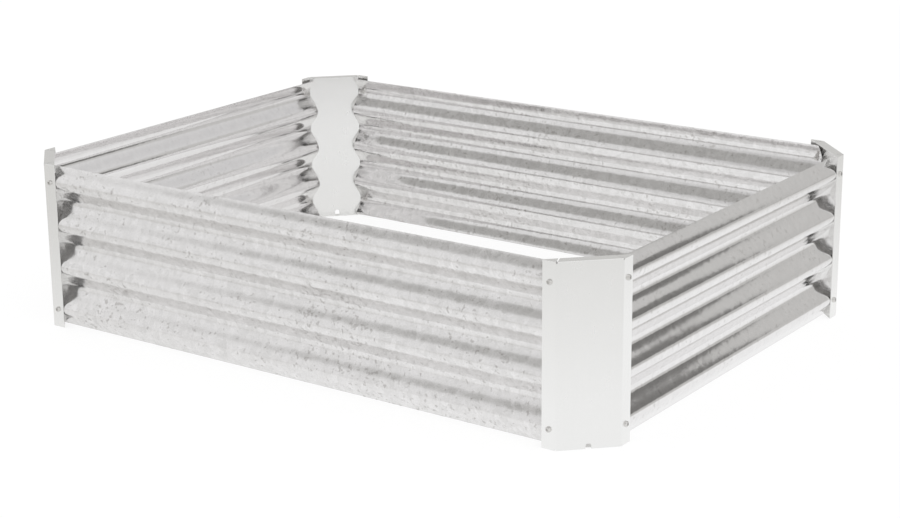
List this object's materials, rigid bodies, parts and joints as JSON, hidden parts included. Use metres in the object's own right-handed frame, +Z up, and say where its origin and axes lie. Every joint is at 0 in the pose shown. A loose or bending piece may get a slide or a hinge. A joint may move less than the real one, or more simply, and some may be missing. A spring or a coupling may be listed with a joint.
{
  "type": "raised garden bed",
  "caption": "Rectangular open raised garden bed: corrugated galvanised steel panels screwed to folded corner posts with flat cut-back corners.",
  "frame": {"origin": "on the ground, under the middle of the bed", "axes": "+X along the long panels, +Y along the short panels towards the back, +Z up"},
  "size_m": [1.2188, 0.9128, 0.3],
  "materials": {
    "galvanised_panel": "hot-dip galvanised, spangled",
    "galvanised_post": "smooth satin galvanised",
    "zinc_plated_fastener": "bright zinc plated"
  },
  "bodies": {
    "root": {"front_long_panel": "galvanised_panel", "right_short_panel": "galvanised_panel", "back_long_panel": "galvanised_panel", "left_short_panel": "galvanised_panel", "front_left_post": "galvanised_post", "front_right_post": "galvanised_post", "back_right_post": "galvanised_post", "back_left_post": "galvanised_post", "screw_front_left_long_lower": "zinc_plated_fastener", "screw_front_left_long_upper": "zinc_plated_fastener", "screw_front_left_short_lower": "zinc_plated_fastener", "screw_front_left_short_upper": "zinc_plated_fastener", "screw_front_right_long_lower": "zinc_plated_fastener", "screw_front_right_long_upper": "zinc_plated_fastener", "screw_front_right_short_lower": "zinc_plated_fastener", "screw_front_right_short_upper": "zinc_plated_fastener", "screw_back_right_long_lower": "zinc_plated_fastener", "screw_back_right_long_upper": "zinc_plated_fastener", "screw_back_right_short_lower": "zinc_plated_fastener", "screw_back_right_short_upper": "zinc_plated_fastener", "screw_back_left_long_lower": "zinc_plated_fastener", "screw_back_left_long_upper": "zinc_plated_fastener", "screw_back_left_short_lower": "zinc_plated_fastener", "screw_back_left_short_upper": "zinc_plated_fastener", "nut_front_left_long_lower": "zinc_plated_fastener", "nut_front_left_long_upper": "zinc_plated_fastener", "nut_front_left_short_lower": "zinc_plated_fastener", "nut_front_left_short_upper": "zinc_plated_fastener", "nut_front_right_long_lower": "zinc_plated_fastener", "nut_front_right_long_upper": "zinc_plated_fastener", "nut_front_right_short_lower": "zinc_plated_fastener", "nut_front_right_short_upper": "zinc_plated_fastener", "nut_back_right_long_lower": "zinc_plated_fastener", "nut_back_right_long_upper": "zinc_plated_fastener", "nut_back_right_short_lower": "zinc_plated_fastener", "nut_back_right_short_upper": "zinc_plated_fastener", "nut_back_left_long_lower": "zinc_plated_fastener", "nut_back_left_long_upper": "zinc_plated_fastener", "nut_back_left_short_lower": "zinc_plated_fastener", "nut_back_left_short_upper": "zinc_plated_fastener"}
  },
  "joints": []
}
